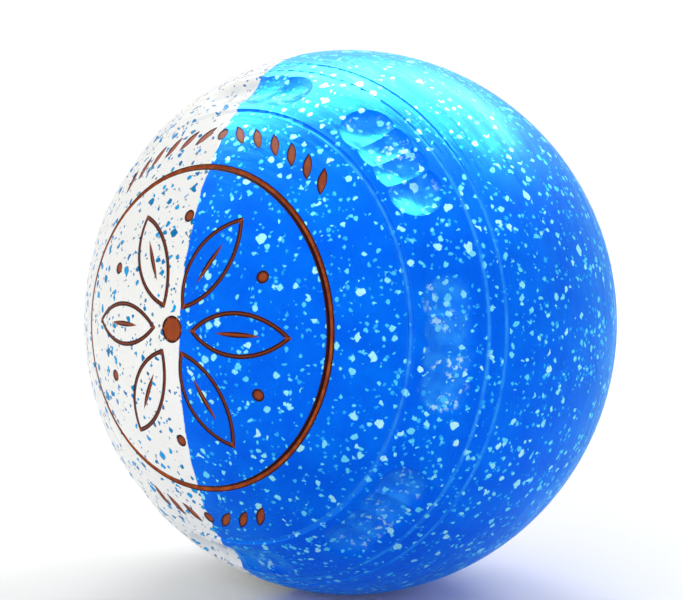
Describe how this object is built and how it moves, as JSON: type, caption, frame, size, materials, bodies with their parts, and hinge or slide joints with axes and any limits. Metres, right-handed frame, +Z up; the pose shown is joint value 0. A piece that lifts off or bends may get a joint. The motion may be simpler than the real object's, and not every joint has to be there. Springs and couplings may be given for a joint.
{
  "type": "lawn bowl",
  "caption": "Biased lawn bowl, slightly flattened ball, half white and half blue speckled resin, with scooped finger grips, turned lines and an enamelled ring.",
  "frame": {"origin": "middle of the bowl, on the rolling axis and halfway across the width", "axes": "+Y along the rolling axis from the emblem side to the bias side, +Z up along the colour seam, +X towards the blue half"},
  "size_m": [0.121, 0.1145, 0.121],
  "materials": {
    "core_resin": "dark pressed phenolic resin, as moulded",
    "white_resin": "polished white melamine with blue flecks",
    "blue_resin": "polished blue melamine with white flecks",
    "copper_enamel": "copper-brown enamel in the engraving"
  },
  "bodies": {
    "root": {"core": "core_resin", "white_shell": "white_resin", "blue_shell": "blue_resin", "emblem_ring": "copper_enamel", "emblem_rosette": "copper_enamel", "upper_leaves": "copper_enamel", "lower_leaves": "copper_enamel", "bias_ring": "copper_enamel"}
  },
  "joints": []
}
